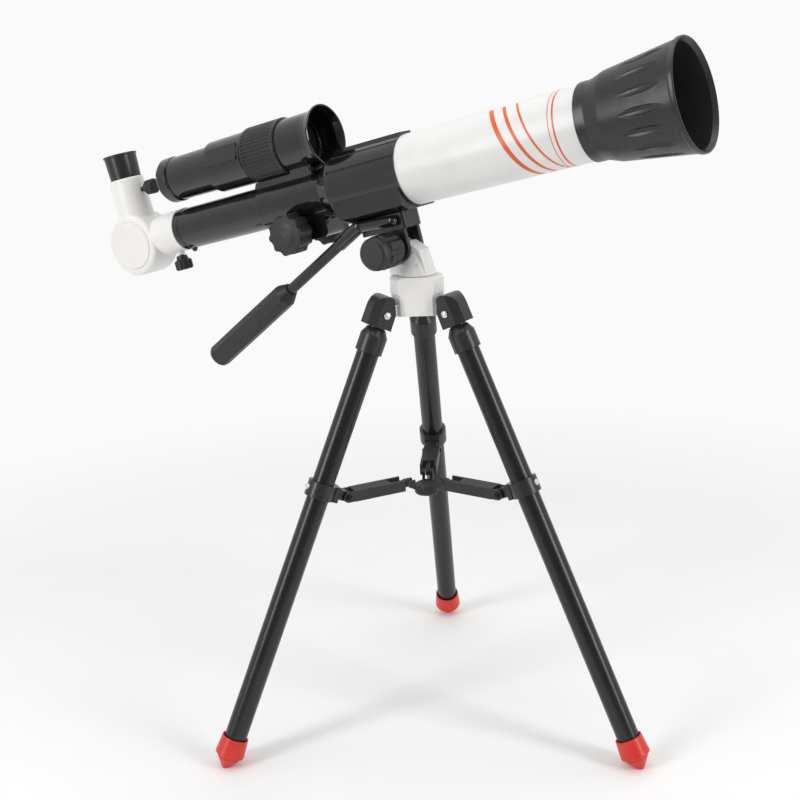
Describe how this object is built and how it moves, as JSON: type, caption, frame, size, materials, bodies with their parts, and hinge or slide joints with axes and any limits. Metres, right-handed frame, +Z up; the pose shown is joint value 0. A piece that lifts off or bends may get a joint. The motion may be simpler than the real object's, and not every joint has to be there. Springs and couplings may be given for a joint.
{
  "type": "telescope on tripod",
  "caption": "Small refractor telescope with flared dew shield, finder, star diagonal and pan handle on a folding table tripod with a spreader and red feet.",
  "frame": {"origin": "on the floor plane, at the middle of the set-up object's plan box; the pan axis stands at x 0.03222, y -0.00448", "axes": "+Z up along the pan axis, +X the way the telescope points at rest, +Y to the left of the telescope"},
  "size_m": [0.4364, 0.2738, 0.4392],
  "materials": {
    "black_plastic": "satin",
    "soft_black": "matte",
    "white_plastic": "satin",
    "black_tube": "gloss",
    "red_plastic": "satin",
    "rivet_metal": "polished",
    "steel": "brushed",
    "lens_glass": "coated",
    "mirror": "polished"
  },
  "bodies": {
    "tripod_hub": {"tripod_hub": "white_plastic", "leg_rivets": "rivet_metal"},
    "pan_head": {"pan_post": "white_plastic", "pan_bolt": "steel"},
    "telescope": {"mount_head": "black_plastic", "tilt_washer": "soft_black", "handle_socket": "black_plastic", "main_tube": "white_plastic", "dew_shield": "black_plastic", "lens_cell": "black_plastic", "objective_lens": "lens_glass", "lens_ring": "black_plastic", "rear_sleeve": "black_plastic", "focuser_body": "black_plastic", "finder_cap": "black_plastic", "finder_tube": "black_plastic", "finder_barrel": "black_plastic", "finder_lens": "lens_glass", "finder_eye_lens": "lens_glass", "finder_shoe": "black_plastic", "finder_bolt": "black_plastic"},
    "tilt_clamp": {"tilt_knob": "soft_black", "tilt_bolt": "steel", "tilt_end_cap": "soft_black"},
    "pan_handle": {"handle_rod": "black_plastic", "handle_grip": "soft_black"},
    "draw_tube": {"draw_tube": "black_plastic"},
    "focus_drive": {"focus_pinion": "steel", "focus_knobs": "soft_black"},
    "diagonal": {"diagonal_body": "white_plastic", "diagonal_cover": "white_plastic", "diagonal_mirror": "mirror"},
    "diagonal_screw": {"diagonal_screw": "soft_black"},
    "eyepiece": {"eyepiece_barrel": "black_plastic", "eyepiece_lens": "lens_glass"},
    "eyepiece_screw": {"eyepiece_screw": "soft_black"},
    "finder_ring": {"finder_ring": "black_plastic"},
    "spreader": {"spreader_hub": "soft_black"},
    "leg_a": {"leg_knuckle_a": "black_plastic", "leg_collar_a": "black_plastic", "leg_tube_a": "black_tube", "leg_bracket_a": "black_plastic", "bracket_pins_a": "rivet_metal", "foot_a": "red_plastic"},
    "brace_a": {"brace_arm_a": "soft_black"},
    "leg_b": {"leg_knuckle_b": "black_plastic", "leg_collar_b": "black_plastic", "leg_tube_b": "black_tube", "leg_bracket_b": "black_plastic", "bracket_pins_b": "rivet_metal", "foot_b": "red_plastic"},
    "brace_b": {"brace_arm_b": "soft_black"},
    "leg_c": {"leg_knuckle_c": "black_plastic", "leg_collar_c": "black_plastic", "leg_tube_c": "black_tube", "leg_bracket_c": "black_plastic", "bracket_pins_c": "rivet_metal", "foot_c": "red_plastic"},
    "brace_c": {"brace_arm_c": "soft_black"}
  },
  "joints": [
    {"name": "pan", "type": "hinge", "parent": "tripod_hub", "child": "pan_head", "pos_m": [0.03222, -0.00448, 0.3], "axis": [0, 0, 1], "continuous": true},
    {"name": "tilt", "type": "hinge", "parent": "pan_head", "child": "telescope", "pos_m": [0.02322, -0.00448, 0.319], "axis": [0, -1, 0], "range_deg": [-38, 26]},
    {"name": "tilt_clamp_turn", "type": "hinge", "parent": "telescope", "child": "tilt_clamp", "pos_m": [0.02322, -0.00448, 0.319], "axis": [0, 1, 0], "continuous": true},
    {"name": "handle_twist", "type": "hinge", "parent": "telescope", "child": "pan_handle", "pos_m": [0.00122, -0.01988, 0.33196], "axis": [-0.7912, 0, -0.6115], "continuous": true},
    {"name": "focus_slide", "type": "slide", "parent": "telescope", "child": "draw_tube", "axis": [-0.9732, 0, -0.23], "range_m": [-0.012, 0.028]},
    {"name": "focus_turn", "type": "hinge", "parent": "telescope", "child": "focus_drive", "pos_m": [-0.04685, -0.00448, 0.32665], "axis": [0, 1, 0], "range_deg": [-335, 144]},
    {"name": "diagonal_turn", "type": "hinge", "parent": "draw_tube", "child": "diagonal", "pos_m": [-0.16242, -0.00448, 0.31999], "axis": [0.9732, 0, 0.23], "range_deg": [-90, 90]},
    {"name": "diagonal_screw_turn", "type": "hinge", "parent": "diagonal", "child": "diagonal_screw", "pos_m": [-0.15782, -0.00448, 0.30053], "axis": [-0.23, 0, 0.9732], "continuous": true},
    {"name": "eyepiece_slide", "type": "slide", "parent": "diagonal", "child": "eyepiece", "axis": [-0.23, 0, 0.9732], "range_m": [0, 0.014]},
    {"name": "eyepiece_screw_turn", "type": "hinge", "parent": "diagonal", "child": "eyepiece_screw", "pos_m": [-0.18201, -0.00448, 0.35071], "axis": [0.9732, 0, 0.23], "continuous": true},
    {"name": "finder_focus_turn", "type": "hinge", "parent": "telescope", "child": "finder_ring", "pos_m": [-0.07297, -0.00448, 0.37628], "axis": [0.9732, 0, 0.23], "continuous": true},
    {"name": "spreader_slide", "type": "slide", "parent": "tripod_hub", "child": "spreader", "axis": [0, 0, 1], "range_m": [0, 0.0402]},
    {"name": "leg_a_fold", "type": "hinge", "parent": "tripod_hub", "child": "leg_a", "pos_m": [0.05757, -0.00603, 0.2797], "axis": [0.061, 0.9981, 0], "range_deg": [0, 20.5]},
    {"name": "brace_a_fold", "type": "hinge", "parent": "leg_a", "child": "brace_a", "pos_m": [0.0892, -0.00796, 0.16605], "axis": [0.061, 0.9981, 0], "range_deg": [0, 66.6]},
    {"name": "leg_b_fold", "type": "hinge", "parent": "tripod_hub", "child": "leg_b", "pos_m": [0.02089, 0.01825, 0.2797], "axis": [-0.8949, -0.4462, 0], "range_deg": [0, 20.5]},
    {"name": "brace_b_fold", "type": "hinge", "parent": "leg_b", "child": "brace_b", "pos_m": [0.00675, 0.04661, 0.16605], "axis": [-0.8949, -0.4462, 0], "range_deg": [0, 66.6]},
    {"name": "leg_c_fold", "type": "hinge", "parent": "tripod_hub", "child": "leg_c", "pos_m": [0.0182, -0.02566, 0.2797], "axis": [0.8339, -0.5519, 0], "range_deg": [0, 20.5]},
    {"name": "brace_c_fold", "type": "hinge", "parent": "leg_c", "child": "brace_c", "pos_m": [0.00071, -0.05208, 0.16605], "axis": [0.8339, -0.5519, 0], "range_deg": [0, 66.6]}
  ],
  "couplings": [
    {"joint": "focus_turn", "follows": "focus_slide", "rad_per_m": -208.33},
    {"joint": "leg_b_fold", "follows": "leg_a_fold", "ratio": 1},
    {"joint": "leg_c_fold", "follows": "leg_a_fold", "ratio": 1},
    {"joint": "brace_a_fold", "follows": "leg_a_fold", "ratio": 3.2459},
    {"joint": "brace_b_fold", "follows": "leg_a_fold", "ratio": 3.2459},
    {"joint": "brace_c_fold", "follows": "leg_a_fold", "ratio": 3.2459},
    {"joint": "spreader_slide", "follows": "leg_a_fold", "m_per_rad": 0.11215}
  ]
}
